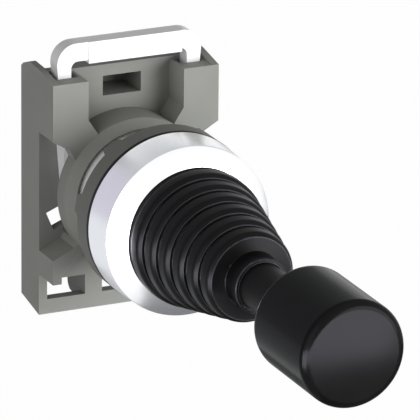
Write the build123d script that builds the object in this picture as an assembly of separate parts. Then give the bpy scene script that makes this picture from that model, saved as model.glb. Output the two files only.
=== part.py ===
from build123d import *
from math import atan2, cos, degrees, radians, sin
import os

# Panel joystick. The lever points along -Y, +X is to the right and +Z is up.
# The origin is on the lever's axis, in the plane where the panel meets its seal.
# All sizes are in millimetres.

# front ring
bezel_radius = 15.0
bezel_taper = 0.26
bezel_side_depth = 6.67
bezel_depth = 8.72
bezel_bore = 11.66
bezel_lip = 1.32
bezel_wall = 2.3
bezel_crown = 0.22
bezel_seal_thickness = 0.45

# collar behind the bezel, with its lugs and the panel's seal
collar_depth = 4.15
lug_height = 1.4
lug_width = 3.8
lug_ramp = 0.45
lug_wall = 1.1
lug_angles = [11.5, 54.8, 125.2, 168.5]
seal_stand = 1.6
seal_recess = 0.8
seal_outer_radius = 13.6
seal_clearance = 0.02

# metal neck
neck_radius = 11.0
neck_bore = 9.6
guide_bore = 9.9
neck_behind_seat = 17.4
neck_front_wall = 1.2
neck_opening = 7.4
flange_clearance = 0.12
neck_fit = 0.1
notch_depth = 0.6
snap_groove_depth = 0.45
snap_ring_width = 0.8
snap_ring_gap = 5.0
snap_ring_wall = 1.5
neck_end_wall = 0.6

# gimbal
pivot_behind_bezel_rear = 2.0
gimbal_outer_radius = 9.0
gimbal_inner_radius = 6.6
gimbal_width = 3.6
pin_radius = 1.0
pin_fit = 0.06
pin_recess = 0.1
side_pin_engagement = 1.9

# lever
hub_radius = 5.4
hub_width = 4.4
lever_radius = 3.0
tail_length = 4.0
lever_length_in_knob = 14.0
sleeve_radius = 4.03
sleeve_clearance = 0.05
sleeve_rear_depth = 17.2
sleeve_in_knob = 4.6

# knob
knob_radius = 9.0
knob_shoulder_round = 1.8
knob_front_round = 1.5
knob_dome = 0.35
knob_tip = 69.9
knob_shoulder = 51.7
knob_back = 45.35
insert_radius = 5.0
insert_length = 14.5
insert_groove_depth = 0.6
insert_groove_width = 3.5

# tilt plate and its screw
plate_radius = 7.5
plate_thickness = 2.0
plate_edge = 0.6
screw_radius = 1.5
screw_head_radius = 2.9
screw_length = 4.6
screw_socket_radius = 0.9
screw_socket_depth = 1.2

# plungers and their guide
plunger_circle = 5.4
plunger_radius = 1.5
plunger_flange_radius = 2.2
plunger_flange_width = 1.0
plunger_dome = 0.55
plunger_gap = 0.8
plunger_behind_guide = 3.6
plunger_tip_taper = 0.5
guide_front_gap = 2.1
guide_floor = 2.5
guide_wall = 1.0
guide_boss_wall = 1.2
guide_rib = 0.9
guide_fit = 0.05

# return spring and its cup
spring_wire = 0.4
spring_large_radius = 8.5
spring_small_radius = 5.0
spring_turns = 4.5
spring_end_gap = 0.05
cup_radius = 6.3
cup_thickness = 1.2
cup_rim = 0.8
cup_rim_wall = 0.6

# bellows boot, with its folds spaced evenly from the first front edge to the last
boot_fit = 0.15
boot_clamp_thickness = 1.0
boot_ring_thickness = 0.9
boot_ring_width = 2.7
boot_wall = 0.85
fold_count = 6
first_fold_radius = 10.9
last_fold_radius = 6.82
first_fold_depth = 12.85
last_fold_depth = 31.51
fold_round = 0.8
fold_width = 2.7
fold_rise = 0.15
valley_depth = 0.4
valley_run = 0.25
root_stand = 0.35
tip_face_radius = 4.78
tip_face_depth = 32.3
tip_depth = 35.76
tip_clearance = 0.08

# holder for the contact blocks
holder_half_width = 15.1
holder_top = 20.6
holder_bottom = 21.9
holder_rear = 22.0
plate_front = 14.35
plate_depth = 2.0
block_front = 8.3
block_inner = 8.7
block_underside = 10.7
ring_front = 6.0
ring_clearance = 0.15
ring_radius = 13.1
ring_lead_in = 0.93
ring_depth = 5.2
ring_round = 0.7
wall_thickness = 1.2
wall_crown = [(6.3, 1.1), (10.3, 1.25), (12.7, 0.35)]
wall_rear_drop = 0.35
plate_top = 21.1
top_rail_bottom = 14.9
window_width = 7.0
window_height = 3.5
window_pitch = 10.1
bottom_window_low = 19.3
top_window_low = 15.6
top_window_depth = 6.9
rib_rise = 2.2
rib_round = 2.0
rib_bottom = 20.9
underside_slant = 1.45
side_hole_width = 2.8
side_hole_height = 3.5
side_hole_angle = 22.6
side_hole_radius = 12.8
foot_width = 1.6
foot_bottom = 14.6
foot_bend = 13.1
edge_round = 0.35

# lock yoke
yoke_front = 11.3
yoke_depth = 2.95
yoke_fit = 0.15
yoke_leg_width = 2.85
yoke_tip_width = 0.5
yoke_bar_bottom = 22.7
yoke_bar_height = 3.75
yoke_bend_rise = 0.6
yoke_pad_left = 7.4
yoke_pad_right = 9.6
yoke_pad_stand = 0.15
yoke_leg_end = 3.0
yoke_corner = 3.5
yoke_inner_corner = 1.2
yoke_slot_clearance = 0.1
yoke_slot_inner = 9.3
yoke_slot_outer = 13.3
yoke_slot_end = 7.2

# stations along the lever's axis, worked out from the sizes above
collar_rear = -seal_stand
collar_front = collar_rear - collar_depth
bezel_rear = collar_front - bezel_seal_thickness
bezel_shoulder = bezel_rear - bezel_depth + bezel_lip
boot_clamp_rear = bezel_shoulder + boot_clamp_thickness
flange_front = boot_clamp_rear + boot_ring_thickness
pivot = bezel_rear + pivot_behind_bezel_rear
hub_rear = pivot + hub_width / 2
plate_face = pivot + tail_length
plate_rear = plate_face + plate_thickness
plunger_front = plate_rear + plunger_gap
guide_front = plunger_front + plunger_dome + plunger_flange_width + guide_front_gap
snap_ring_rear = neck_behind_seat - neck_end_wall
guide_rear = snap_ring_rear - snap_ring_width
plunger_rear = guide_rear + plunger_behind_guide
cup_front = bezel_rear - sleeve_rear_depth
cup_rear = cup_front + cup_thickness
knob_back_face = bezel_rear - knob_back
sleeve_front = knob_back_face - sleeve_in_knob
insert_front = sleeve_front - insert_length
lever_front = sleeve_front - lever_length_in_knob
bezel_front_radius = bezel_radius - bezel_taper
cavity_radius = bezel_radius - bezel_wall
flange_radius = cavity_radius - flange_clearance
holder_bore = neck_radius + ring_clearance
yoke_inner = neck_radius - notch_depth + yoke_fit
yoke_outer = yoke_inner + yoke_leg_width


def turned(outline):
    """A solid of revolution about the lever's axis from corners (radius, y) or (radius, y, rounding)."""
    corners = [(corner[0], corner[1]) for corner in outline]
    face = make_face(Polyline(*corners, close=True))
    for corner in outline:
        if len(corner) == 3:
            vertex = face.vertices().sort_by_distance((corner[0], corner[1], 0))[0]
            face = fillet(vertex, corner[2])
    return revolve(face, Axis.Y)


def tube(outer, inner, front, rear):
    """A plain ring about the lever's axis."""
    return turned([(inner, front), (outer, front), (outer, rear), (inner, rear)])


def rod(radius, start, end):
    """A round bar between two points."""
    run = Vector(*end) - Vector(*start)
    base = Plane(origin=start, z_dir=run)
    return base * Cylinder(radius, run.length, align=(Align.CENTER, Align.CENTER, Align.MIN))


def block(low, high):
    """A box between its lowest and highest corners."""
    size = [b - a for a, b in zip(low, high)]
    middle = [(a + b) / 2 for a, b in zip(low, high)]
    return Pos(*middle) * Box(*size)


def slab(outline, front, rear):
    """A plate whose outline is given as (x, z) corners, between two stations along Y."""
    wire = Polyline(*[(x, front, z) for x, z in outline], close=True)
    return extrude(make_face(wire), rear - front, dir=(0, 1, 0))


def mirrored(solid):
    """The piece together with its mirror image across the YZ plane."""
    return solid + mirror(solid, about=Plane.YZ)


def bezel():
    """Front ring with a crowned face; its rear skirt closes over the neck's flange."""
    front = bezel_rear - bezel_depth
    edge = bezel_rear - bezel_side_depth
    middle_radius = (bezel_front_radius + bezel_bore) / 2
    crown_y = (edge + front) / 2 - bezel_crown
    outline = [
        Line((bezel_radius, bezel_rear), (bezel_front_radius, edge)),
        ThreePointArc((bezel_front_radius, edge), (middle_radius, crown_y), (bezel_bore, front)),
        Polyline(
            (bezel_bore, front),
            (bezel_bore, bezel_shoulder),
            (cavity_radius, bezel_shoulder),
            (cavity_radius, bezel_rear),
            (bezel_radius, bezel_rear),
        ),
    ]
    face = make_face(outline)
    corner = face.vertices().sort_by_distance((bezel_front_radius, edge, 0))[0]
    face = fillet(corner, edge_round)
    return revolve(face, Axis.Y)


def bezel_seal():
    """Thin black ring between the bezel and the collar."""
    return tube(bezel_radius - seal_clearance, cavity_radius, bezel_rear, collar_front)


def collar_lug(angle):
    """One lug on the collar's rear rim, with both its ends ramped."""
    half = lug_width / 2
    top = collar_rear + lug_height
    side = Polyline(
        (-half, collar_rear - lug_ramp),
        (half, collar_rear - lug_ramp),
        (half, collar_rear),
        (half - lug_ramp, top),
        (lug_ramp - half, top),
        (-half, collar_rear),
        close=True,
    )
    wedge = extrude(Plane(origin=(0, 0, 0), x_dir=(0, 0, -1), z_dir=(1, 0, 0)) * make_face(side), 2 * bezel_radius)
    rim = tube(bezel_radius, bezel_radius - lug_wall, collar_rear - lug_ramp, top)
    return rim & (Rot(0, -angle, 0) * wedge)


def collar():
    """Grey ring that spaces the bezel from the panel and carries the panel's seal in its rear face."""
    bore = neck_radius + neck_fit
    ring = turned([
        (bore, collar_front),
        (bezel_radius, collar_front),
        (bezel_radius, collar_rear),
        (seal_outer_radius, collar_rear),
        (seal_outer_radius, collar_rear - seal_recess),
        (bore, collar_rear - seal_recess),
    ])
    for angle in lug_angles:
        ring += collar_lug(angle)
    return ring


def panel_seal():
    """Flat rubber seal that meets the panel."""
    return tube(seal_outer_radius, neck_radius + neck_fit, collar_rear - seal_recess, 0)


def neck():
    """Metal body: a flange for the bezel, then a tube through the panel to the holder."""
    body = turned([
        (neck_opening, flange_front),
        (flange_radius, flange_front),
        (flange_radius, collar_front),
        (neck_radius, collar_front),
        (neck_radius, neck_behind_seat, edge_round),
        (guide_bore, neck_behind_seat),
        (guide_bore, snap_ring_rear),
        (guide_bore + snap_groove_depth, snap_ring_rear),
        (guide_bore + snap_groove_depth, guide_rear),
        (guide_bore, guide_rear),
        (guide_bore, guide_front),
        (neck_bore, guide_front),
        (neck_bore, flange_front + neck_front_wall),
        (neck_opening, flange_front + neck_front_wall),
    ])
    pin_seat = rod(pin_radius, (neck_bore - 1, pivot, 0), (neck_radius + 1, pivot, 0))
    flat = neck_radius - notch_depth
    notch = block(
        (flat, yoke_front - yoke_slot_clearance, -neck_radius),
        (neck_radius + 1, yoke_front + yoke_depth + yoke_slot_clearance, neck_radius),
    )
    return body - mirrored(pin_seat) - mirrored(notch)


def boot_ring():
    """Ring that presses the boot's flange against the bezel's shoulder."""
    return tube(flange_radius, flange_radius - boot_ring_width, boot_clamp_rear, flange_front)


def boot_folds():
    """Front edge (radius, y) of each fold, from the bezel forward."""
    pitch = (last_fold_depth - first_fold_depth) / (fold_count - 1)
    taper = (first_fold_radius - last_fold_radius) / (fold_count - 1)
    return [(first_fold_radius - taper * i, bezel_rear - first_fold_depth - pitch * i) for i in range(fold_count)]


def boot():
    """Rubber bellows: hollow folds with rounded front edges, closed round the sleeve at its tip."""
    root = bezel_bore - boot_fit
    root_front = bezel_rear - bezel_depth - root_stand
    outside = [
        (flange_radius, boot_clamp_rear),
        (flange_radius, bezel_shoulder),
        (root, bezel_shoulder),
        (root, root_front),
    ]
    inside = [(root - boot_wall, boot_clamp_rear)]
    valley = (root - valley_depth, root_front - valley_run)
    for radius, front in boot_folds():
        crest = radius + fold_round
        shoulder = crest + fold_rise
        outside += [valley, (shoulder, front + fold_width), (crest, front, fold_round)]
        inside += [
            (valley[0] - boot_wall, valley[1]),
            (shoulder - boot_wall, front + fold_width - boot_wall / 2),
            (crest - boot_wall, front + boot_wall),
        ]
        valley = (radius - valley_depth, front - valley_run)
    face_y = bezel_rear - tip_face_depth
    tip = bezel_rear - tip_depth
    bore = sleeve_radius + tip_clearance
    nose = [
        (tip_face_radius, face_y),
        (tip_face_radius, tip),
        (bore, tip),
        (bore, face_y + boot_wall),
    ]
    return turned(outside + nose + inside[::-1])


def gimbal_ring():
    """Ring that turns on the side pins and carries the cross pin."""
    half = gimbal_width / 2
    ring = turned([
        (gimbal_inner_radius, pivot - half),
        (gimbal_outer_radius, pivot - half, edge_round),
        (gimbal_outer_radius, pivot + half, edge_round),
        (gimbal_inner_radius, pivot + half),
    ])
    side_holes = rod(pin_radius + pin_fit, (-neck_radius, pivot, 0), (neck_radius, pivot, 0))
    cross_hole = rod(pin_radius, (0, pivot, -neck_radius), (0, pivot, neck_radius))
    return ring - side_holes - cross_hole


def side_pins():
    """Two pins pressed in the neck behind its flange, trapped by the collar."""
    inner = gimbal_outer_radius - side_pin_engagement
    pin = rod(pin_radius, (inner, pivot, 0), (neck_radius - pin_recess, pivot, 0))
    return [pin, mirror(pin, about=Plane.YZ)]


def cross_pin():
    """Pin pressed in the gimbal ring, on which the lever's hub turns."""
    reach = gimbal_outer_radius - pin_recess
    return rod(pin_radius, (0, pivot, -reach), (0, pivot, reach))


def lever():
    """Turned steel lever: hub on the cross pin, tail for the tilt plate, shank for the knob."""
    body = turned([
        (0, lever_front),
        (lever_radius, lever_front, edge_round),
        (lever_radius, pivot - hub_width / 2),
        (hub_radius, pivot - hub_width / 2, edge_round),
        (hub_radius, hub_rear, edge_round),
        (lever_radius, hub_rear),
        (lever_radius, plate_face),
        (0, plate_face),
    ])
    cross_hole = rod(pin_radius + pin_fit, (0, pivot, -neck_radius), (0, pivot, neck_radius))
    screw_hole = rod(screw_radius, (0, plate_rear - screw_length, 0), (0, plate_rear, 0))
    return body - cross_hole - screw_hole


def spacer_sleeve():
    """Black sleeve over the lever between the spring's cup and the knob."""
    return tube(sleeve_radius, lever_radius + sleeve_clearance, sleeve_front, cup_front)


def spring_cup():
    """Flanged cup that slides on the lever and locates the small end of the spring."""
    bore = lever_radius + sleeve_clearance
    rim_inner = cup_radius - cup_rim_wall
    return turned([
        (bore, cup_front),
        (cup_radius, cup_front, edge_round),
        (cup_radius, cup_rear + cup_rim),
        (rim_inner, cup_rear + cup_rim),
        (rim_inner, cup_rear),
        (bore, cup_rear),
    ])


def return_spring():
    """Conical wire spring between the neck's front face and the cup."""
    start = flange_front - spring_wire - spring_end_gap
    length = start - spring_wire - spring_end_gap - cup_rear
    lean = atan2(spring_small_radius - spring_large_radius, length)
    path = Helix(
        pitch=length / spring_turns,
        height=length,
        radius=spring_large_radius,
        center=(0, start, 0),
        direction=(0, -1, 0),
        cone_angle=degrees(lean),
    )
    section = Plane(origin=path @ 0, z_dir=path % 0) * Circle(spring_wire)
    return sweep(section, path=path, is_frenet=True)


def knob():
    """Cylindrical knob with a domed front, a rounded front edge and a tapered back."""
    front = bezel_rear - knob_tip
    shoulder = bezel_rear - knob_shoulder
    face_radius = knob_radius - knob_front_round
    dome_radius = (face_radius**2 + knob_dome**2) / (2 * knob_dome)
    ball = Pos(0, front - knob_dome + dome_radius, 0) * Sphere(dome_radius)
    dome = ball & rod(face_radius, (0, front - 2 * knob_dome, 0), (0, front, 0))
    return dome + turned([
        (0, front),
        (knob_radius, front, knob_front_round),
        (knob_radius, shoulder, knob_shoulder_round),
        (sleeve_radius + sleeve_clearance, knob_back_face),
        (sleeve_radius + sleeve_clearance, sleeve_front),
        (insert_radius, sleeve_front),
        (insert_radius, insert_front),
        (0, insert_front),
    ])


def knob_insert():
    """Brass insert moulded in the knob, with a groove that keeps it in place."""
    middle = (sleeve_front + insert_front) / 2
    groove = insert_groove_width / 2
    waist = insert_radius - insert_groove_depth
    return turned([
        (lever_radius, sleeve_front),
        (insert_radius, sleeve_front),
        (insert_radius, middle + groove),
        (waist, middle + groove),
        (waist, middle - groove),
        (insert_radius, middle - groove),
        (insert_radius, insert_front),
        (0, insert_front),
        (0, lever_front),
        (lever_radius, lever_front),
    ])


def tilt_plate():
    """Plate on the lever's tail, with a bevelled front edge and a countersunk middle."""
    head_depth = screw_head_radius - screw_radius
    return turned([
        (screw_radius, plate_face),
        (plate_radius - plate_edge, plate_face),
        (plate_radius, plate_face + plate_edge),
        (plate_radius, plate_rear),
        (screw_head_radius, plate_rear),
        (screw_radius, plate_rear - head_depth),
    ])


def plate_screw():
    """Countersunk screw that clamps the tilt plate on the lever's tail."""
    head_depth = screw_head_radius - screw_radius
    screw = turned([
        (0, plate_rear - screw_length),
        (screw_radius, plate_rear - screw_length),
        (screw_radius, plate_rear - head_depth),
        (screw_head_radius, plate_rear),
        (0, plate_rear),
    ])
    flats = RegularPolygon(screw_socket_radius, 6, major_radius=False)
    return screw - extrude(Plane(origin=(0, plate_rear, 0), z_dir=(0, -1, 0)) * flats, screw_socket_depth)


def plunger(angle):
    """Plunger with a domed head, a stop flange and a shank that runs in the guide."""
    flange_front_y = plunger_front + plunger_dome
    flange_rear_y = flange_front_y + plunger_flange_width
    dome = ThreePointArc(
        (0, plunger_front),
        (plunger_radius / 2, plunger_front + plunger_dome / 4),
        (plunger_radius, flange_front_y),
    )
    rest = Polyline(
        (plunger_radius, flange_front_y),
        (plunger_flange_radius, flange_front_y),
        (plunger_flange_radius, flange_rear_y),
        (plunger_radius, flange_rear_y),
        (plunger_radius, plunger_rear - plunger_tip_taper),
        (plunger_radius - plunger_tip_taper, plunger_rear),
        (0, plunger_rear),
        (0, plunger_front),
    )
    body = revolve(make_face([dome, rest]), Axis.Y)
    place = (plunger_circle * cos(radians(angle)), 0, plunger_circle * sin(radians(angle)))
    return Pos(*place) * body


def plunger_guide():
    """Moulded guide: a floor, a thin wall, four bosses and cross ribs, open at the rear."""
    outer = guide_bore - guide_fit
    floor_rear = guide_front + guide_floor
    body = turned([
        (0, guide_front),
        (outer, guide_front),
        (outer, guide_rear),
        (outer - guide_wall, guide_rear),
        (outer - guide_wall, floor_rear),
        (0, floor_rear),
    ])
    for angle in (0, 90):
        rib = block((-outer + guide_wall, floor_rear, -guide_rib / 2), (outer - guide_wall, guide_rear, guide_rib / 2))
        body += Rot(0, angle + 45, 0) * rib
    boss_radius = plunger_radius + pin_fit + guide_boss_wall
    for angle in (0, 90, 180, 270):
        x = plunger_circle * cos(radians(angle))
        z = plunger_circle * sin(radians(angle))
        body += rod(boss_radius, (x, floor_rear, z), (x, guide_rear, z))
    for angle in (0, 90, 180, 270):
        x = plunger_circle * cos(radians(angle))
        z = plunger_circle * sin(radians(angle))
        body -= rod(plunger_radius + pin_fit, (x, guide_front, z), (x, guide_rear, z))
    return body


def snap_ring():
    """Split ring in the neck's groove, open at the bottom."""
    outer = guide_bore + snap_groove_depth
    ring = tube(outer, outer - snap_ring_wall, guide_rear, snap_ring_rear)
    half = snap_ring_gap / 2
    return ring - block((-half, guide_rear, -outer - 1), (half, snap_ring_rear, 0))


def holder_ring():
    """Ring round the neck, with a sloping front face and a lead-in to its bore."""
    slope_rear = block_front
    mouth = holder_bore + ring_lead_in - ring_clearance
    return turned([
        (holder_bore, ring_front + ring_lead_in),
        (mouth, ring_front),
        (ring_radius, slope_rear, ring_round),
        (ring_radius, plate_front),
        (holder_bore, plate_front),
    ])


def holder_blocks():
    """The two upper blocks, whose inner lower corners run into the ring."""
    outline = [
        (holder_half_width, holder_top),
        (block_inner, holder_top),
        (block_inner, block_underside + 3.1),
        (block_inner - 1.55, block_underside + 0.75),
        (ring_radius * cos(radians(58)) - 0.5, ring_radius * sin(radians(58)) - 0.8),
        (ring_radius * cos(radians(30)) - 0.7, ring_radius * sin(radians(30)) - 0.4),
        (holder_half_width - 3.1, block_underside - 1.8),
        (holder_half_width, block_underside),
    ]
    return mirrored(slab(outline, block_front, plate_front))


def holder_feet():
    """The two lower feet, each with a nose and a diagonal edge towards the ring."""
    outline = [
        (holder_half_width, -10.3),
        (11.2, -8.5),
        (10.2, -7.0),
        (9.0, -8.6),
        (9.6, -9.3),
        (holder_half_width - foot_width, -foot_bend),
        (holder_half_width - foot_width, -foot_bottom),
        (holder_half_width, -foot_bottom),
    ]
    return mirrored(slab(outline, block_front, plate_front))


def holder_walls():
    """The two side walls behind the plate, crowned at the top and slanted at the bottom."""
    crown = [(block_front + back, holder_top + rise) for back, rise in wall_crown]
    outline = Polyline(
        (block_front, holder_top),
        *crown,
        (holder_rear, holder_top - wall_rear_drop),
        (holder_rear, underside_slant - holder_bottom),
        (plate_front, -holder_bottom),
        (plate_front, block_underside),
        (block_front, block_underside),
        close=True,
    )
    side = Plane(origin=(holder_half_width - wall_thickness, 0, 0), x_dir=(0, 1, 0), z_dir=(1, 0, 0))
    return mirrored(extrude(side * make_face(outline), wall_thickness))


def holder_rail_and_ribs():
    """The top rail behind the plate, and the ribs between the latch windows."""
    body = block((-block_inner, plate_front, top_rail_bottom), (block_inner, holder_rear, plate_top))
    rib_half = (window_pitch - window_width) / 2
    rib_top = window_height + rib_rise - bottom_window_low
    for x in (-window_pitch / 2, window_pitch / 2):
        rib_outline = Polyline(
            (plate_front, -rib_bottom),
            (holder_rear, -rib_bottom),
            (holder_rear, rib_top),
            (plate_front, rib_top),
            close=True,
        )
        rib = make_face(rib_outline)
        rib = fillet(rib.vertices().sort_by_distance((holder_rear, -rib_bottom, 0))[0], rib_round)
        rib_side = Plane(origin=(x - rib_half, 0, 0), x_dir=(0, 1, 0), z_dir=(1, 0, 0))
        body += extrude(rib_side * rib, 2 * rib_half)
    return body


def underside_cut():
    """Wedge that slants the underside of the plate and the walls."""
    outline = Polyline(
        (plate_front, -holder_bottom),
        (holder_rear, -holder_bottom),
        (holder_rear, underside_slant - holder_bottom),
        close=True,
    )
    side = Plane(origin=(-holder_half_width, 0, 0), x_dir=(0, 1, 0), z_dir=(1, 0, 0))
    return extrude(side * make_face(outline), 2 * holder_half_width)


def yoke_slots():
    """Slots for the yoke's two legs: through the blocks, and open at the sides behind the ring."""
    front = ring_front + ring_depth
    slot = block(
        (yoke_slot_inner, front, -yoke_slot_end),
        (yoke_slot_outer, yoke_front + yoke_depth + yoke_slot_clearance, holder_top + 5),
    )
    side = block(
        (yoke_slot_inner, front, -yoke_slot_end),
        (holder_half_width, plate_front, block_underside - 1),
    )
    return mirrored(slot + side)


def holder():
    """Moulded holder: ring, plate, blocks, feet, side walls, rail, ribs and latch windows."""
    half = holder_half_width
    plate = block((-half, plate_front, -holder_bottom), (half, plate_front + plate_depth, plate_top))
    body = plate + holder_ring() + holder_blocks() + holder_feet() + holder_walls() + holder_rail_and_ribs()
    body -= rod(holder_bore, (0, plate_front, 0), (0, holder_rear + 1, 0))
    for x in (-window_pitch, 0, window_pitch):
        body -= block(
            (x - window_width / 2, plate_front, -bottom_window_low),
            (x + window_width / 2, plate_front + plate_depth, window_height - bottom_window_low),
        )
    body -= block(
        (-window_width / 2, plate_front, top_window_low),
        (window_width / 2, plate_front + top_window_depth, top_window_low + window_height),
    )
    body = body - underside_cut() - yoke_slots()
    hole = block(
        (side_hole_radius - side_hole_width / 2, ring_front + ring_depth, -side_hole_height / 2),
        (side_hole_radius + side_hole_width / 2, plate_front + plate_depth, side_hole_height / 2),
    )
    return body - mirrored(Rot(0, side_hole_angle, 0) * hole)


def lock_yoke():
    """U-shaped yoke: a bar with a grip pad and two tapered legs that enter the neck's side notches."""
    top = yoke_bar_bottom + yoke_bar_height
    bend = yoke_bar_bottom + yoke_bend_rise
    half = [
        (yoke_outer, top),
        (yoke_inner + yoke_tip_width, -yoke_leg_end),
        (yoke_inner, -yoke_leg_end),
        (yoke_inner, bend),
    ]
    other_half = [(-x, z) for x, z in reversed(half)]
    face = make_face(Polyline(*half, *other_half, close=True))
    for x in (-yoke_outer, yoke_outer):
        face = fillet(face.vertices().sort_by_distance((x, top, 0))[0], yoke_corner)
    for x in (-yoke_inner, yoke_inner):
        face = fillet(face.vertices().sort_by_distance((x, bend, 0))[0], yoke_inner_corner)
    front = Plane(origin=(0, yoke_front, 0), x_dir=(1, 0, 0), z_dir=(0, -1, 0))
    pad = block(
        (-yoke_pad_left, yoke_front - yoke_pad_stand, yoke_bar_bottom),
        (yoke_pad_right, yoke_front + yoke_depth, top),
    )
    return extrude(front * face, -yoke_depth) + pad


pieces = {
    "bezel": bezel(),
    "bezel_seal": bezel_seal(),
    "collar": collar(),
    "panel_seal": panel_seal(),
    "neck": neck(),
    "boot_ring": boot_ring(),
    "boot": boot(),
    "gimbal_ring": gimbal_ring(),
    "side_pins": side_pins(),
    "cross_pin": cross_pin(),
    "lever": lever(),
    "spacer_sleeve": spacer_sleeve(),
    "spring_cup": spring_cup(),
    "return_spring": return_spring(),
    "knob": knob(),
    "knob_insert": knob_insert(),
    "tilt_plate": tilt_plate(),
    "plate_screw": plate_screw(),
    "plunger_right": plunger(0),
    "plunger_upper": plunger(90),
    "plunger_left": plunger(180),
    "plunger_lower": plunger(270),
    "plunger_guide": plunger_guide(),
    "snap_ring": snap_ring(),
    "holder": holder(),
    "lock_yoke": lock_yoke(),
}

os.makedirs("parts", exist_ok=True)
for name, piece in pieces.items():
    solids = []
    for item in piece if isinstance(piece, list) else [piece]:
        solids += item.solids()
    export_step(Compound(children=solids), f"parts/{name}.step")
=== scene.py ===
from math import cos, pi, radians, sin, tan

import bmesh
import bpy
from mathutils import Matrix, Vector


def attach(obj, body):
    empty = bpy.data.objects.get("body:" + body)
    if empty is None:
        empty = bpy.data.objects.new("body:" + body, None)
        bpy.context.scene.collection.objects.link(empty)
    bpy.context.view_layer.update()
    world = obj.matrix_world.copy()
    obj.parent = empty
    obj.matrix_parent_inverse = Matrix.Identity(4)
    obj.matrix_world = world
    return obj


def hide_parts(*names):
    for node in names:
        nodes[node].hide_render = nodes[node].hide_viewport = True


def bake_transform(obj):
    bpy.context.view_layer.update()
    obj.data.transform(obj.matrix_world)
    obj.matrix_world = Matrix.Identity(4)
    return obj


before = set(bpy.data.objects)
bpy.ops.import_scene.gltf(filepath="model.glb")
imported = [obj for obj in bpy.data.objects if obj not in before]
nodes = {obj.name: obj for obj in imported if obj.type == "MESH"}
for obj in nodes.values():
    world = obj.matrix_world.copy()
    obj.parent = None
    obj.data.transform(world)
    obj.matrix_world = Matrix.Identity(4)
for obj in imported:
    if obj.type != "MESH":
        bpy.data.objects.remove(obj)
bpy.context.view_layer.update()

mm = 0.001
print("frame loaded:", len(nodes), "nodes")


# the camera that took the photo, in metres and degrees
photoView = {
    "place": (-0.38769, -0.86323, 0.33317),
    "heading": 24.73,  # from straight ahead, towards the right
    "down": 19.42,
    "roll": 0.58,
    "lens": 516.0,  # millimetres, for a frame 36 wide
    "sensor": 36,
    "clip": (0.05, 20),
}


def setCamera(view):
    camera = bpy.data.objects.new("photoCamera", bpy.data.cameras.new("photoCamera"))
    bpy.context.scene.collection.objects.link(camera)
    camera.data.sensor_width = view["sensor"]
    camera.data.lens = view["lens"]
    camera.data.clip_start, camera.data.clip_end = view["clip"]
    turn = Matrix.Rotation(-radians(view["heading"]), 4, "Z")
    turn = turn @ Matrix.Rotation(pi / 2 - radians(view["down"]), 4, "X")
    turn = turn @ Matrix.Rotation(radians(view["roll"]), 4, "Z")
    camera.matrix_world = Matrix.Translation(view["place"]) @ turn
    bpy.context.scene.camera = camera


setCamera(photoView)


studio = {
    "ambient": 0.14,  # what the world gives to matt surfaces
    "suns": {
        "key": {"from": (0.60, -0.80, 0.06), "strength": 3.35, "angle": 50},
        "fill": {"from": (-0.85, -0.50, 0.15), "strength": 1.05, "angle": 60},
    },
    "floorReach": 1.5,  # metres from the middle to each side
    "floorHeight": -0.45,
    "floorGlow": 1.05,
    "floorShade": (0.80, 0.80, 0.80),
    "floorWhite": 0.92,  # the rest of the floor is matt and keeps the shadow
    # curved strips that only reflections show, in degrees about the knob, 0 straight in front
    "gleamCentre": (0, -0.076, 0),
    "gleamReach": 0.9,
    "gleamParts": 12,
    "gleamTint": (1.0, 0.975, 1.11),
    "gleams": {
        "frontStrip": {"left": -60, "right": 37, "low": -21.4, "high": -8, "level": 15.5},
        "leftStrip": {"left": -92, "right": -40, "low": -28, "high": -4, "level": 18},
        "rearLeftWall": {"left": -185, "right": -112, "low": -6, "high": 62, "level": 0.60},
    },
    # flat cards that only reflections show: low corner, high corner, brightness
    "cardTint": (0.97, 1.0, 1.03),
    "cards": {
        "floorCard": ((-0.02, -0.19, -0.108), (0.35, 0.12, -0.108), 0.20),
        "leftFloorCard": ((-0.90, 0.12, -0.108), (-0.02, 0.90, -0.108), 0.80),
        "rearFloorCard": ((-0.02, 0.12, -0.108), (0.90, 0.90, -0.108), 0.45),
        "roofCard": ((-0.80, 0.02, 0.34), (0.80, 1.00, 0.34), 0.55),
    },
}


# 1 for camera, glossy and transmission rays, 0 for the rays that light matt surfaces
def seenDirectly(tree):
    path = tree.nodes.new("ShaderNodeLightPath")
    first = tree.nodes.new("ShaderNodeMath")
    first.operation = "MAXIMUM"
    second = tree.nodes.new("ShaderNodeMath")
    second.operation = "MAXIMUM"
    tree.links.new(path.outputs["Is Camera Ray"], first.inputs[0])
    tree.links.new(path.outputs["Is Glossy Ray"], first.inputs[1])
    tree.links.new(first.outputs[0], second.inputs[0])
    tree.links.new(path.outputs["Is Transmission Ray"], second.inputs[1])
    return second.outputs[0]


def hangLamp(name, lamp, way):
    item = bpy.data.objects.new(name, lamp)
    item.rotation_euler = way.to_track_quat("Z", "Y").to_euler()
    bpy.context.scene.collection.objects.link(item)


def lightTheRoom(room):
    world = bpy.data.worlds.new("studio")
    bpy.context.scene.world = world
    world.use_nodes = True
    tree = world.node_tree
    tree.nodes.clear()
    out = tree.nodes.new("ShaderNodeOutputWorld")
    soft = tree.nodes.new("ShaderNodeBackground")
    soft.inputs["Strength"].default_value = room["ambient"]
    white = tree.nodes.new("ShaderNodeBackground")
    mix = tree.nodes.new("ShaderNodeMixShader")
    tree.links.new(seenDirectly(tree), mix.inputs[0])
    tree.links.new(soft.outputs[0], mix.inputs[1])
    tree.links.new(white.outputs[0], mix.inputs[2])
    tree.links.new(mix.outputs[0], out.inputs["Surface"])
    for background in (soft, white):
        background.inputs["Color"].default_value = (1, 1, 1, 1)
    for name, values in room["suns"].items():
        lamp = bpy.data.lights.new(name, "SUN")
        lamp.energy = values["strength"]
        lamp.angle = radians(values["angle"])
        hangLamp(name, lamp, Vector(values["from"]))


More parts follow.
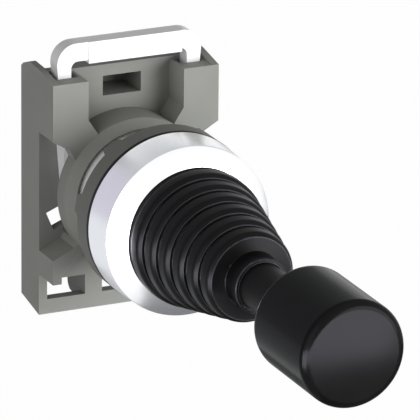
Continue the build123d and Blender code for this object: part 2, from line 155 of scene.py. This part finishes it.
def layFloor(room):
    mesh = bpy.data.meshes.new("floor")
    reach = room["floorReach"]
    corners = [(-reach, -reach, 0), (reach, -reach, 0), (reach, reach, 0), (-reach, reach, 0)]
    mesh.from_pydata(corners, [], [(0, 1, 2, 3)])
    floor = bpy.data.objects.new("floor", mesh)
    floor.location.z = room["floorHeight"]
    bpy.context.scene.collection.objects.link(floor)
    paper = bpy.data.materials.new("floorPaper")
    paper.use_nodes = True
    tree = paper.node_tree
    tree.nodes.clear()
    out = tree.nodes.new("ShaderNodeOutputMaterial")
    matt = tree.nodes.new("ShaderNodeBsdfDiffuse")
    matt.inputs["Color"].default_value = (*room["floorShade"], 1)
    glow = tree.nodes.new("ShaderNodeEmission")
    glow.inputs["Strength"].default_value = room["floorGlow"]
    whiteShare = tree.nodes.new("ShaderNodeMath")
    whiteShare.operation = "MULTIPLY"
    whiteShare.inputs[1].default_value = room["floorWhite"]
    mix = tree.nodes.new("ShaderNodeMixShader")
    tree.links.new(seenDirectly(tree), whiteShare.inputs[0])
    tree.links.new(whiteShare.outputs[0], mix.inputs[0])
    tree.links.new(matt.outputs[0], mix.inputs[1])
    tree.links.new(glow.outputs[0], mix.inputs[2])
    tree.links.new(mix.outputs[0], out.inputs["Surface"])
    mesh.materials.append(paper)


# a glowing sheet that no camera, matt surface or shadow knows of
def hangCard(name, corners, faces, level, tint):
    mesh = bpy.data.meshes.new(name)
    mesh.from_pydata(corners, [], faces)
    card = bpy.data.objects.new(name, mesh)
    bpy.context.scene.collection.objects.link(card)
    card.visible_camera = False
    card.visible_diffuse = False
    card.visible_transmission = False
    card.visible_shadow = False
    paint = bpy.data.materials.new(name)
    paint.use_nodes = True
    tree = paint.node_tree
    tree.nodes.clear()
    out = tree.nodes.new("ShaderNodeOutputMaterial")
    glow = tree.nodes.new("ShaderNodeEmission")
    glow.inputs["Color"].default_value = (*tint, 1)
    glow.inputs["Strength"].default_value = level
    tree.links.new(glow.outputs[0], out.inputs["Surface"])
    mesh.materials.append(paint)


def hangCards(room):
    for name, (low, high, level) in room["cards"].items():
        corners = [low, (high[0], low[1], low[2]), high, (low[0], high[1], high[2])]
        hangCard(name, corners, [(0, 1, 2, 3)], level, room["cardTint"])
    parts = room["gleamParts"]
    for name, strip in room["gleams"].items():
        corners = []
        for i in range(parts + 1):
            across = radians(strip["left"] + (strip["right"] - strip["left"]) * i / parts)
            for up in (radians(strip["low"]), radians(strip["high"])):
                way = Vector((sin(across) * cos(up), -cos(across) * cos(up), sin(up)))
                corners.append(Vector(room["gleamCentre"]) + room["gleamReach"] * way)
        faces = [(2 * i, 2 * i + 1, 2 * i + 3, 2 * i + 2) for i in range(parts)]
        hangCard(name, corners, faces, strip["level"], room["gleamTint"])


lightTheRoom(studio)
layFloor(studio)
hangCards(studio)
bpy.context.scene.view_settings.view_transform = "Standard"
print("camera, lamps and floor set")


def newGroup(name, inputs, outputs):
    group = bpy.data.node_groups.new(name, "ShaderNodeTree")
    for label, kind, value in inputs:
        socket = group.interface.new_socket(label, in_out="INPUT", socket_type=kind)
        socket.default_value = value
    for label, kind in outputs:
        group.interface.new_socket(label, in_out="OUTPUT", socket_type=kind)
    return group, group.nodes.new("NodeGroupInput"), group.nodes.new("NodeGroupOutput")


def addMath(tree, operation, *values):
    node = tree.nodes.new("ShaderNodeMath")
    node.operation = operation
    for i, value in enumerate(values):
        if hasattr(value, "is_output"):
            tree.links.new(value, node.inputs[i])
        else:
            node.inputs[i].default_value = value
    return node.outputs[0]


def addNoise(tree, where, scale, detail=3.0, roughness=0.5):
    node = tree.nodes.new("ShaderNodeTexNoise")
    node.inputs["Detail"].default_value = detail
    node.inputs["Roughness"].default_value = roughness
    tree.links.new(where, node.inputs["Vector"])
    if hasattr(scale, "is_output"):
        tree.links.new(scale, node.inputs["Scale"])
    else:
        node.inputs["Scale"].default_value = scale
    return node.outputs["Fac"]


def addColourMix(tree, factor, first, second):
    node = tree.nodes.new("ShaderNodeMix")
    node.data_type = "RGBA"
    tree.links.new(factor, node.inputs[0])
    for socket, value in ((node.inputs[6], first), (node.inputs[7], second)):
        if hasattr(value, "is_output"):
            tree.links.new(value, socket)
        else:
            socket.default_value = value
    return node.outputs[2]


cloudGain, cloudShift = 2.4, -0.7  # stretch the soft noise to clear patches
turnGain = 6.0  # how soon a rounded edge counts as one
bulgeGain = 15.0  # the same for the bulge of the surface
flatPoint = 0.5  # pointiness of a flat surface


# moulded surface: cloudy tone, fine grain and a gloss that varies
def buildSkinGrain():
    group, given, out = newGroup(
        "skinGrain",
        [("Tone", "NodeSocketColor", (0.5, 0.5, 0.5, 1)),
         ("Cloud Tone", "NodeSocketColor", (0.5, 0.5, 0.5, 1)),
         ("Grain Scale", "NodeSocketFloat", 2500.0), ("Cloud Scale", "NodeSocketFloat", 140.0),
         ("Gloss Low", "NodeSocketFloat", 0.4), ("Gloss High", "NodeSocketFloat", 0.5)],
        [("Color", "NodeSocketColor"), ("Roughness", "NodeSocketFloat"), ("Height", "NodeSocketFloat")])
    where = group.nodes.new("ShaderNodeTexCoord").outputs["Object"]
    cloud = addNoise(group, where, given.outputs["Cloud Scale"], 4.0)
    grain = addNoise(group, where, given.outputs["Grain Scale"], 2.0, 0.6)
    shade = addMath(group, "MULTIPLY_ADD", cloud, cloudGain, cloudShift)
    shade = addMath(group, "MINIMUM", addMath(group, "MAXIMUM", shade, 0.0), 1.0)
    tone = addColourMix(group, shade, given.outputs["Tone"], given.outputs["Cloud Tone"])
    span = addMath(group, "SUBTRACT", given.outputs["Gloss High"], given.outputs["Gloss Low"])
    both = addMath(group, "MULTIPLY_ADD", grain, 0.5, addMath(group, "MULTIPLY", shade, 0.5))
    gloss = addMath(group, "MULTIPLY_ADD", both, span, given.outputs["Gloss Low"])
    group.links.new(tone, out.inputs["Color"])
    group.links.new(gloss, out.inputs["Roughness"])
    group.links.new(grain, out.inputs["Height"])
    return group


# turned surface: fine rings about the lever's axis, a little broken round the turn
def buildLatheMarks():
    group, given, out = newGroup(
        "latheMarks",
        [("Rings", "NodeSocketFloat", 9000.0), ("Around", "NodeSocketFloat", 1.2),
         ("Gloss Low", "NodeSocketFloat", 0.15), ("Gloss High", "NodeSocketFloat", 0.3)],
        [("Roughness", "NodeSocketFloat"), ("Height", "NodeSocketFloat")])
    where = group.nodes.new("ShaderNodeTexCoord").outputs["Object"]
    parts = group.nodes.new("ShaderNodeSeparateXYZ")
    group.links.new(where, parts.inputs[0])
    x, y, z = parts.outputs
    squares = addMath(group, "ADD", addMath(group, "POWER", x, 2.0), addMath(group, "POWER", z, 2.0))
    radius = addMath(group, "SQRT", squares)
    angle = addMath(group, "ARCTAN2", z, x)
    join = group.nodes.new("ShaderNodeCombineXYZ")
    group.links.new(addMath(group, "MULTIPLY", radius, given.outputs["Rings"]), join.inputs[0])
    group.links.new(addMath(group, "MULTIPLY", y, given.outputs["Rings"]), join.inputs[1])
    group.links.new(addMath(group, "MULTIPLY", angle, given.outputs["Around"]), join.inputs[2])
    rings = addNoise(group, join.outputs[0], 1.0, 2.0)
    span = addMath(group, "SUBTRACT", given.outputs["Gloss High"], given.outputs["Gloss Low"])
    gloss = addMath(group, "MULTIPLY_ADD", rings, span, given.outputs["Gloss Low"])
    group.links.new(gloss, out.inputs["Roughness"])
    group.links.new(rings, out.inputs["Height"])
    return group


# mask of the outer edges: the rounded normal leaves the plain one there, and the surface bulges; it lightens
# worn edges, and on the boot it paints a highlight along the front edges of the folds
def buildEdgeWearAndHighlight():
    group, given, out = newGroup(
        "edgeWearAndHighlight",
        [("Width", "NodeSocketFloat", 0.0003), ("Break Up", "NodeSocketFloat", 900.0),
         ("Amount", "NodeSocketFloat", 0.6)],
        [("Edge", "NodeSocketFloat")])
    rounded = group.nodes.new("ShaderNodeBevel")
    rounded.samples = 4
    group.links.new(given.outputs["Width"], rounded.inputs["Radius"])
    plain = group.nodes.new("ShaderNodeNewGeometry")
    dot = group.nodes.new("ShaderNodeVectorMath")
    dot.operation = "DOT_PRODUCT"
    group.links.new(rounded.outputs[0], dot.inputs[0])
    group.links.new(plain.outputs["Normal"], dot.inputs[1])
    turn = addMath(group, "SUBTRACT", 1.0, dot.outputs["Value"])
    turn = addMath(group, "MINIMUM", addMath(group, "MULTIPLY", turn, turnGain), 1.0)
    where = group.nodes.new("ShaderNodeTexCoord").outputs["Object"]
    patchy = addNoise(group, where, given.outputs["Break Up"], 3.0)
    bulge = addMath(group, "SUBTRACT", plain.outputs["Pointiness"], flatPoint)
    bulge = addMath(group, "MULTIPLY", bulge, bulgeGain)
    bulge = addMath(group, "MINIMUM", addMath(group, "MAXIMUM", bulge, 0.0), 1.0)
    wearAndHighlightAmount = addMath(group, "MULTIPLY", turn, addMath(group, "MULTIPLY", patchy, bulge))
    group.links.new(addMath(group, "MULTIPLY", wearAndHighlightAmount, given.outputs["Amount"]), out.inputs["Edge"])
    return group


# painted shade: mask of hollows and inner corners, from ambient occlusion, where a moulded surface's colour is
# darkened to stand in for the shade there
def buildPaintedShade():
    group, given, out = newGroup(
        "paintedShade", [("Reach", "NodeSocketFloat", 0.005), ("Amount", "NodeSocketFloat", 0.4)],
        [("Shade", "NodeSocketFloat")])
    near = group.nodes.new("ShaderNodeAmbientOcclusion")
    near.samples = 6
    group.links.new(given.outputs["Reach"], near.inputs["Distance"])
    closed = addMath(group, "SUBTRACT", 1.0, near.outputs["AO"])
    group.links.new(addMath(group, "MULTIPLY", closed, given.outputs["Amount"]), out.inputs["Shade"])
    return group


skinGrain = buildSkinGrain()
paintedShade = buildPaintedShade()
latheMarks = buildLatheMarks()
edgeWearAndHighlight = buildEdgeWearAndHighlight()


# tone and cloud are the two shades of the surface, the edge colour the shade of its worn edges and, on the
# boot, a painted highlight, with its amount how much of that shows, the painted-shade amount how far hollows
# are darkened, gloss the range of roughness, shine the specular level, grain the fineness and depth the height
# in metres
mouldedFinishes = {
    "holderGrey": {"tone": (0.315, 0.320, 0.295), "cloud": (0.295, 0.300, 0.277), "wearAndHighlightEdge": (0.46, 0.46, 0.43),
                   "gloss": (0.48, 0.60), "shine": 0.06, "grain": 3200, "depth": 0.000006,
                   "paintedShade": 0.55},
    "yokeWhite": {"tone": (0.93, 0.93, 0.93), "cloud": (0.91, 0.91, 0.92), "wearAndHighlightEdge": (0.94, 0.94, 0.94),
                  "gloss": (0.30, 0.40), "shine": 0.40, "grain": 2400, "depth": 0.000003},
    "collarGrey": {"tone": (0.215, 0.217, 0.200), "cloud": (0.198, 0.200, 0.184), "wearAndHighlightEdge": (0.42, 0.42, 0.40),
                   "gloss": (0.45, 0.58), "shine": 0.06, "grain": 3600, "depth": 0.000006,
                   "paintedShade": 0.45},
    "knobBlack": {"tone": (0.0070, 0.0070, 0.0070), "cloud": (0.0090, 0.0090, 0.0092),
                  "wearAndHighlightEdge": (0.026, 0.026, 0.026), "gloss": (0.15, 0.21), "shine": 0.052, "grain": 1800,
                  "depth": 0.000001},
    "sleeveBlack": {"tone": (0.0080, 0.0080, 0.0080), "cloud": (0.0100, 0.0100, 0.0100),
                    "wearAndHighlightEdge": (0.026, 0.026, 0.026), "gloss": (0.30, 0.42), "shine": 0.06, "grain": 2500,
                    "depth": 0.000003},
    # the boot's light edge colour, at its large amount, is a painted highlight along the front edges of the
    # folds
    "bootRubber": {"tone": (0.0065, 0.0065, 0.0068), "cloud": (0.0085, 0.0085, 0.0092),
                   "wearAndHighlightEdge": (0.115, 0.115, 0.130), "wearAndHighlightAmount": 16.0, "gloss": (0.26, 0.34), "shine": 0.068,
                   "grain": 2600, "depth": 0.000003},
    "sealRubber": {"tone": (0.008, 0.008, 0.008), "cloud": (0.012, 0.012, 0.012), "wearAndHighlightEdge": (0.018, 0.018, 0.018),
                   "gloss": (0.55, 0.70), "shine": 0.15, "grain": 3000, "depth": 0.000006},
    "plungerWhite": {"tone": (0.72, 0.72, 0.69), "cloud": (0.68, 0.68, 0.65), "wearAndHighlightEdge": (0.80, 0.80, 0.78),
                     "gloss": (0.35, 0.45), "shine": 0.40, "grain": 2500, "depth": 0.000003, "soft": 0.3},
    "guideGrey": {"tone": (0.085, 0.085, 0.085), "cloud": (0.070, 0.070, 0.070), "wearAndHighlightEdge": (0.14, 0.14, 0.14),
                  "gloss": (0.45, 0.60), "shine": 0.30, "grain": 3000, "depth": 0.000006},
}
# rings is the fineness of the turned marks
metalFinishes = {
    "ringMetal": {"tone": (0.95, 0.955, 0.965), "cloud": (0.92, 0.925, 0.94), "wearAndHighlightEdge": (0.92, 0.93, 0.95),
                  "gloss": (0.23, 0.29), "metal": 1.0, "rings": 16000, "depth": 0.0000004},
    "neckMetal": {"tone": (0.98, 0.98, 0.97), "cloud": (0.96, 0.96, 0.95), "wearAndHighlightEdge": (0.93, 0.93, 0.92),
                  "gloss": (0.35, 0.50), "metal": 0.0, "rings": 9000, "depth": 0.0000010},
    "plainSteel": {"tone": (0.52, 0.52, 0.53), "cloud": (0.45, 0.45, 0.46), "wearAndHighlightEdge": (0.66, 0.66, 0.67),
                   "gloss": (0.28, 0.42), "metal": 1.0, "rings": 7000, "depth": 0.0000012},
    "springSteel": {"tone": (0.36, 0.36, 0.37), "cloud": (0.30, 0.30, 0.31), "wearAndHighlightEdge": (0.50, 0.50, 0.50),
                    "gloss": (0.25, 0.38), "metal": 1.0, "rings": 7000, "depth": 0.0000010},
    "insertBrass": {"tone": (0.72, 0.55, 0.26), "cloud": (0.62, 0.46, 0.20), "wearAndHighlightEdge": (0.82, 0.68, 0.38),
                    "gloss": (0.22, 0.36), "metal": 1.0, "rings": 8000, "depth": 0.0000010},
}
usualWear = {"moulded": 0.5, "metal": 0.6}
metalCloud = 90.0
paintedShadeShare = 0.25  # share of the tone left where the painted shade of a hollow is deepest
softReach = 3 * mm  # how far light wanders under a soft surface


def startFinish(name):
    finish = bpy.data.materials.new(name)
    finish.use_nodes = True
    tree = finish.node_tree
    return finish, tree, tree.nodes["Principled BSDF"]


def placeGroup(tree, group, values):
    node = tree.nodes.new("ShaderNodeGroup")
    node.node_tree = group
    for label, value in values.items():
        node.inputs[label].default_value = value
    return node


def addBump(tree, shader, height, depth):
    bump = tree.nodes.new("ShaderNodeBump")
    bump.inputs["Distance"].default_value = depth
    tree.links.new(height, bump.inputs["Height"])
    tree.links.new(bump.outputs[0], shader.inputs["Normal"])


def makeMoulded(name, values):
    finish, tree, shader = startFinish(name)
    shader.inputs["Specular IOR Level"].default_value = values["shine"]
    if "soft" in values:
        shader.inputs["Subsurface Weight"].default_value = values["soft"]
        shader.inputs["Subsurface Radius"].default_value = (1, 1, 1)
        shader.inputs["Subsurface Scale"].default_value = softReach
    skin = placeGroup(tree, skinGrain, {
        "Tone": (*values["tone"], 1), "Cloud Tone": (*values["cloud"], 1), "Grain Scale": values["grain"],
        "Gloss Low": values["gloss"][0], "Gloss High": values["gloss"][1]})
    # lighter edges: worn edges, and on the boot a painted highlight along the folds' front edges
    wearAndHighlightEdge = placeGroup(tree, edgeWearAndHighlight, {"Amount": values.get("wearAndHighlightAmount", usualWear["moulded"])})
    colour = addColourMix(tree, wearAndHighlightEdge.outputs["Edge"], skin.outputs["Color"], (*values["wearAndHighlightEdge"], 1))
    # painted shade: the colour is darkened towards a quarter of the tone where ambient occlusion finds hollows
    # and inner corners
    if "paintedShade" in values:
        paintedShadeMask = placeGroup(tree, paintedShade, {"Amount": values["paintedShade"]})
        paintedShadeTone = tuple(paintedShadeShare * channel for channel in values["tone"])
        colour = addColourMix(tree, paintedShadeMask.outputs["Shade"], colour, (*paintedShadeTone, 1))
    tree.links.new(colour, shader.inputs["Base Color"])
    tree.links.new(skin.outputs["Roughness"], shader.inputs["Roughness"])
    addBump(tree, shader, skin.outputs["Height"], values["depth"])
    return finish


def makeMetal(name, values):
    finish, tree, shader = startFinish(name)
    shader.inputs["Metallic"].default_value = values["metal"]
    skin = placeGroup(tree, skinGrain, {
        "Tone": (*values["tone"], 1), "Cloud Tone": (*values["cloud"], 1), "Cloud Scale": metalCloud})
    marks = placeGroup(tree, latheMarks, {
        "Rings": values["rings"], "Gloss Low": values["gloss"][0], "Gloss High": values["gloss"][1]})
    wearAndHighlightEdge = placeGroup(tree, edgeWearAndHighlight, {"Amount": usualWear["metal"]})
    colour = addColourMix(tree, wearAndHighlightEdge.outputs["Edge"], skin.outputs["Color"], (*values["wearAndHighlightEdge"], 1))
    tree.links.new(colour, shader.inputs["Base Color"])
    tree.links.new(marks.outputs["Roughness"], shader.inputs["Roughness"])
    addBump(tree, shader, marks.outputs["Height"], values["depth"])
    return finish


finishes = {name: makeMoulded(name, values) for name, values in mouldedFinishes.items()}
finishes.update({name: makeMetal(name, values) for name, values in metalFinishes.items()})

nodeFinishes = {
    "bezel": "ringMetal", "bezel_seal": "sealRubber", "panel_seal": "sealRubber", "collar": "collarGrey",
    "neck": "neckMetal", "boot_ring": "plainSteel", "boot": "bootRubber", "gimbal_ring": "plainSteel",
    "side_pins": "plainSteel", "cross_pin": "plainSteel", "lever": "plainSteel", "spring_cup": "plainSteel",
    "spacer_sleeve": "sleeveBlack", "return_spring": "springSteel", "knob": "knobBlack",
    "knob_insert": "insertBrass", "tilt_plate": "plainSteel", "plate_screw": "plainSteel",
    "plunger_right": "plungerWhite", "plunger_left": "plungerWhite", "plunger_upper": "plungerWhite",
    "plunger_lower": "plungerWhite", "plunger_guide": "guideGrey", "snap_ring": "springSteel",
    "holder": "holderGrey", "lock_yoke": "yokeWhite",
}
for nodeName, finishName in nodeFinishes.items():
    for place in nodes[nodeName].material_slots:
        place.material = finishes[finishName]
print("finishes made:", len(finishes))


# a new object of the scene, made from a mesh in the row frame
def addPiece(name, mesh, finishName):
    piece = bpy.data.objects.new(name, mesh)
    bpy.context.scene.collection.objects.link(piece)
    mesh.materials.clear()
    mesh.materials.append(finishes[finishName])
    return piece


# mouldings that keep the solid's shape and get rounded edges, in mm and degrees
roundedPieces = {
    "holderMoulding": {"node": "holder", "slot": "holder_grey", "finish": "holderGrey", "body": "housing",
                       "edge": 0.28},
    "yokeMoulding": {"node": "lock_yoke", "slot": "yoke_white", "finish": "yokeWhite", "body": "yoke",
                     "edge": 0.35},
    "collarMoulding": {"node": "collar", "slot": "collar_grey", "finish": "collarGrey", "body": "housing",
                       "edge": 0.12},
}
rounding = {"segments": 3, "sharperThan": 28, "weld": 0.002, "flatWithin": 0.8}
# the front rim of the holder's ring is drawn in from its solid's radius, which lies below "within"
holderMouth = {"radius": 11.25, "within": 11.8, "deep": 0.05}


def drawMouthIn(shape, mouth):
    front = min(corner.co.y for corner in shape.verts) + mouth["deep"] * mm
    for corner in shape.verts:
        across = Vector((corner.co.x, 0, corner.co.z))
        if corner.co.y < front and across.length < mouth["within"] * mm:
            corner.co += across * (mouth["radius"] * mm / across.length - 1)


def roundEdges(name, values):
    shape = bmesh.new()
    shape.from_mesh(nodes[values["node"]].data)
    bmesh.ops.remove_doubles(shape, verts=shape.verts, dist=rounding["weld"] * mm)
    flat = radians(rounding["flatWithin"])
    bmesh.ops.dissolve_limit(shape, angle_limit=flat, verts=shape.verts, edges=shape.edges)
    if values["node"] == "holder":
        drawMouthIn(shape, holderMouth)
    mesh = bpy.data.meshes.new(name)
    shape.to_mesh(mesh)
    shape.free()
    piece = addPiece(name, mesh, values["finish"])
    bevel = piece.modifiers.new("roundedEdges", "BEVEL")
    bevel.width = values["edge"] * mm
    bevel.segments = rounding["segments"]
    bevel.limit_method = "ANGLE"
    bevel.angle_limit = radians(rounding["sharperThan"])
    for face in mesh.polygons:
        face.use_smooth = True
    piece.modifiers.new("evenNormals", "WEIGHTED_NORMAL")
    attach(piece, values["body"])
    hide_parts(values["node"])


for pieceName, pieceValues in roundedPieces.items():
    roundEdges(pieceName, pieceValues)
print("rounded pieces made")


# the boot is made in two halves that meet in a valley
# corners are (radius, y, rounding) in mm
bootShape = {
    "root": [(12.55, -12.60, 0), (12.55, -13.59, 0), (11.50, -13.59, 0), (11.50, -15.27, 0.25)],
    "foldCount": 6,
    "firstFold": (10.90, -19.05),  # radius and y of the front edge
    "lastFold": (6.95, -37.85),
    "width": 2.7,  # from a fold's front edge back to its shoulder
    "rise": 0.10,  # shoulder above crest
    "shoulderRound": 0.5,
    "crown": (0.15, 0.82, 1.15, 50),  # front edge, crest, how far back the crest lies, degrees turned
    "lastTurn": 28,  # the last fold turns less and ends in a crisp edge
    "lastRim": (0.2, 0.015),  # flat ring inside that edge: its width and how far it leans forward
    "land": 0.3,
    "landRound": 0.08,
    "valley": (0.45, 0.25, 0.15),  # depth, run, rounding
    "wall": 0.45,
    "insideRound": 0.3,
    "tip": [(4.78, -38.09, 0.15), (4.75, -41.90, 0.25), (4.13, -41.90, 0), (4.13, -37.84, 0)],
    "seam": -23.03,
    "rearBend": (-14.2, -21.8),
    "frontBend": (-23.15, -33.0),
    "around": 160,
    "steps": 6,  # of each rounded corner
}


# the corners with a rounding become arcs that take less than half of a side
def roundCorners(corners, steps):
    line = []
    for i, (r, y, size) in enumerate(corners):
        if not size:
            line.append((r, y))
            continue
        here = Vector((r, y))
        back = Vector(corners[i - 1][:2]) - here
        ahead = Vector(corners[i + 1][:2]) - here
        half = back.angle(ahead) / 2
        reach = min(size / tan(half), 0.49 * back.length, 0.49 * ahead.length)
        back.normalize()
        ahead.normalize()
        centre = here + (back + ahead).normalized() * (reach / cos(half))
        first, last = here + back * reach - centre, here + ahead * reach - centre
        turn = pi - 2 * half
        for step in range(steps + 1):
            t = step / steps
            spoke = (first * sin((1 - t) * turn) + last * sin(t * turn)) / sin(turn)
            line.append(tuple(centre + spoke))
    return line


# outer and inner line of the bellows, from the clamp to the tip
def bootLines(shape):
    (r0, y0), (r1, y1) = shape["firstFold"], shape["lastFold"]
    depth, run, valleyRound = shape["valley"]
    edge, out, back, turned = shape["crown"]
    wall, steps, soft = shape["wall"], shape["steps"], shape["insideRound"]
    outside = list(shape["root"])
    inside = [(outside[-1][0] - wall, outside[0][1], 0)]
    valley = (outside[-1][0] - depth, outside[-1][1] - run)
    last = shape["foldCount"] - 1
    for i in range(shape["foldCount"]):
        front = y0 + (y1 - y0) * i / last
        radius = r0 + (r1 - r0) * i / last
        shoulder = radius + out + shape["rise"]
        shoulderY = front + shape["width"]
        full = radians(shape["lastTurn"] if i == last else turned)
        outside += [(*valley, valleyRound), (shoulder, shoulderY, shape["shoulderRound"])]
        for step in range(steps + 1):
            turn = full * step / steps
            sunk = (1 - cos(turn)) / (1 - cos(full))
            gone = sin(turn) / sin(full)
            outside.append((radius + out - (out - edge) * sunk, front + back * (1 - gone), 0))
        outside.append((radius - shape["land"], front, shape["landRound"]))
        inside += [(valley[0] - wall, valley[1], soft), (shoulder - wall, shoulderY - wall / 2, soft),
                   (radius + out - wall, front + back, 0), (radius - 0.4 * wall, front + wall, soft)]
        valley = (radius - depth, front - run)
    inside[-1] = (*inside[-1][:2], 0)
    rimWidth, rimLean = shape["lastRim"]
    outside[-1] = (radius + edge - rimWidth, front - rimLean, 0)
    return [roundCorners(line, steps) for line in (outside + shape["tip"], inside)]


sharpEdge = 35  # degrees; an edge that turns more stays crisp


# closed shell of revolution about the lever's axis, between an outer and an inner line in mm
def spinShell(name, outside, inside, around):
    loop = outside + inside[::-1]
    count = len(loop)
    points = []
    for i in range(around):
        turn = 2 * pi * i / around
        points += [(r * cos(turn) * mm, y * mm, r * sin(turn) * mm) for r, y in loop]
    faces = []
    for i in range(around):
        a, b = i * count, (i + 1) % around * count
        for j in range(count):
            k = (j + 1) % count
            faces.append((a + j, a + k, b + k, b + j))
    mesh = bpy.data.meshes.new(name)
    mesh.from_pydata(points, [], faces)
    work = bmesh.new()
    work.from_mesh(mesh)
    bmesh.ops.recalc_face_normals(work, faces=work.faces)
    for edge in work.edges:
        edge.smooth = edge.calc_face_angle(0) < radians(sharpEdge)
    work.to_mesh(mesh)
    work.free()
    for face in mesh.polygons:
        face.use_smooth = True
    return mesh


# both parts of the line keep the point where it crosses the seam
def splitLine(line, seam):
    for i in range(len(line) - 1):
        (r0, y0), (r1, y1) = line[i], line[i + 1]
        if y0 > seam >= y1:
            t = (seam - y0) / (y1 - y0)
            cut = (r0 + (r1 - r0) * t, seam)
            return line[:i + 1] + [cut], [cut] + line[i + 1:]


def makeBoot(shape):
    outside, inside = bootLines(shape)
    rear, front = splitLine(outside, shape["seam"])
    rearInside, frontInside = splitLine(inside, shape["seam"])
    for name, out, inner, bodies, (start, end) in (
            ("bootRear", rear, rearInside, ("housing", "gimbal"), shape["rearBend"]),
            ("bootFront", front, frontInside, ("gimbal", "stick"), shape["frontBend"])):
        piece = addPiece(name, spinShell(name, out, inner, shape["around"]), "bootRubber")
        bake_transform(piece)
        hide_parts("boot")


# the seal swells a little out of the joint between bezel and collar
sealShape = {"radius": 15.05, "inner": 14.40, "swell": 0.12, "middle": -5.82, "half": 0.55, "steps": 8,
             "around": 200}


def makeSeal(shape):
    outside = []
    for i in range(shape["steps"] + 1):
        turn = pi * i / shape["steps"]
        radius = shape["radius"] - shape["swell"] * (1 - sin(turn))
        outside.append((radius, shape["middle"] + shape["half"] * cos(turn)))
    inside = [(shape["inner"], outside[0][1]), (shape["inner"], outside[-1][1])]
    piece = addPiece("sealBead", spinShell("sealBead", outside, inside, shape["around"]), "sealRubber")
    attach(piece, "housing")
    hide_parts("bezel_seal")


makeSeal(sealShape)
makeBoot(bootShape)


# the spring is made in two halves too, which meet at "middle" of its length
springShape = {"start": (8.5, -12.15), "end": (4.35, -21.75), "wire": 0.4, "turns": 4.5, "middle": 0.35,
               "sides": 12, "steps": 60}


# the wire between two shares of its length
def sweepWire(name, values, low, high):
    points, faces = [], []
    sides, steps = values["sides"], values["steps"]
    (r0, y0), (r1, y1) = values["start"], values["end"]
    for i in range(steps + 1):
        t = low + (high - low) * i / steps
        turn = 2 * pi * values["turns"] * t
        radius = r0 + (r1 - r0) * t
        centre = Vector((radius * cos(turn), y0 + (y1 - y0) * t, radius * sin(turn)))
        outward = Vector((cos(turn), 0, sin(turn)))
        for j in range(sides):
            around = 2 * pi * j / sides
            point = centre + values["wire"] * (outward * cos(around) + Vector((0, sin(around), 0)))
            points.append(point * mm)
        if i:
            a = (i - 1) * sides
            for j in range(sides):
                k = (j + 1) % sides
                faces.append((a + j, a + k, a + sides + k, a + sides + j))
    faces.append(tuple(range(sides)))
    faces.append(tuple(reversed(range(steps * sides, (steps + 1) * sides))))
    mesh = bpy.data.meshes.new(name)
    mesh.from_pydata(points, [], faces)
    work = bmesh.new()
    work.from_mesh(mesh)
    bmesh.ops.recalc_face_normals(work, faces=work.faces)
    work.to_mesh(mesh)
    work.free()
    for face in mesh.polygons:
        face.use_smooth = True
    return mesh


def makeSpring(values):
    startY, endY, middle = values["start"][1], values["end"][1], values["middle"]
    middleY = startY + (endY - startY) * middle
    for name, low, high, bodies, start, end in (
            ("springRear", 0.0, middle, ("housing", "gimbal"), startY, middleY),
            ("springFront", middle, 1.0, ("gimbal", "stick"), middleY, endY)):
        piece = addPiece(name, sweepWire(name, values, low, high), "springSteel")
        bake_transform(piece)
        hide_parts("return_spring")


# the cup is made a little narrower, so that the bellows clears it when the stick leans sideways
cupShape = {"outside": [(3.05, -23.40, 0), (5.55, -23.40, 0.6), (5.55, -21.40, 0.15), (4.95, -21.40, 0)],
            "inside": [(3.05, -22.20), (4.95, -22.20)], "steps": 5, "around": 96}


def makeCup(shape):
    outside = roundCorners(shape["outside"], shape["steps"])
    mesh = spinShell("springCup", outside, shape["inside"], shape["around"])
    piece = addPiece("springCup", mesh, "plainSteel")
    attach(piece, "stick")
    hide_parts("spring_cup")


makeCup(cupShape)
makeSpring(springShape)
print("boot and spring made")
